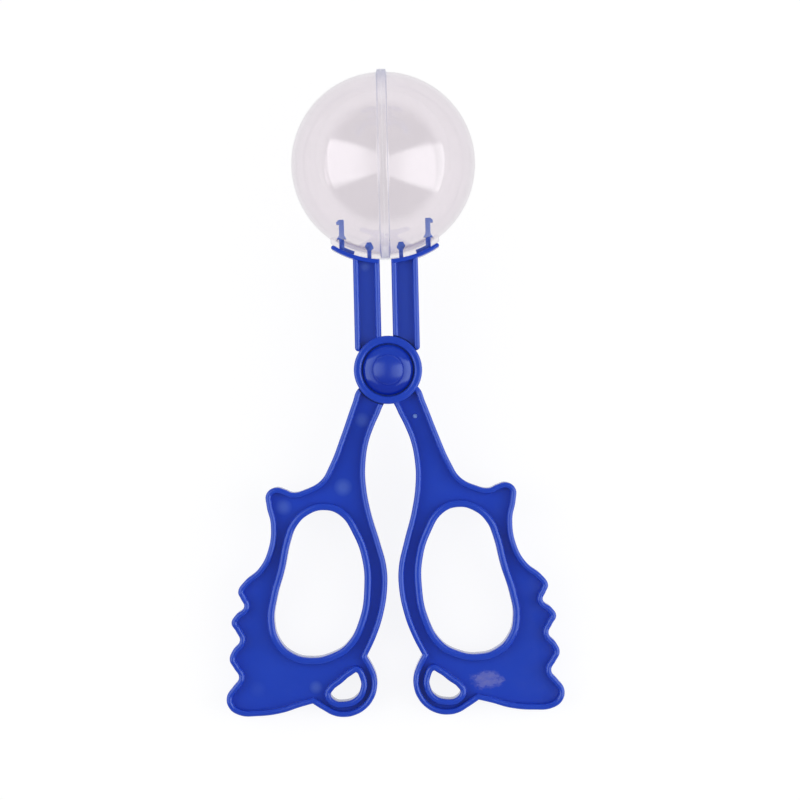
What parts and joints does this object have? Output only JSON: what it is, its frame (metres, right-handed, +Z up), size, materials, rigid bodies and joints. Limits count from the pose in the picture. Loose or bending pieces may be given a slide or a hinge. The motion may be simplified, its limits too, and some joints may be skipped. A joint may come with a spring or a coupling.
{
  "type": "insect catcher tongs",
  "caption": "Scissor tongs with ribbed finger-hole handles; the jaws carry the halves of a clear hollow ball that closes round an insect.",
  "frame": {"origin": "middle of the object's footprint, on the table it lies on", "axes": "+Y along the length towards the ball, +X across to the right jaw, +Z up from the table; the pivot axis leans from +Z towards -Y because the ball is thicker than the handles"},
  "size_m": [0.1146, 0.2184, 0.0646],
  "materials": {
    "blue_plastic": "glossy injection-moulded polypropylene",
    "clear_plastic": "clear moulded polystyrene"
  },
  "bodies": {
    "rear_half": {"rear_arm": "blue_plastic", "right_shell": "clear_plastic", "pivot_pin": "blue_plastic"},
    "front_half": {"front_arm": "blue_plastic", "left_shell": "clear_plastic"}
  },
  "joints": [
    {"name": "scissor_pivot", "type": "hinge", "parent": "rear_half", "child": "front_half", "pos_m": [0, 0.00757, 0.02189], "axis": [0, -0.1485, 0.9889], "range_deg": [0, 60]}
  ]
}
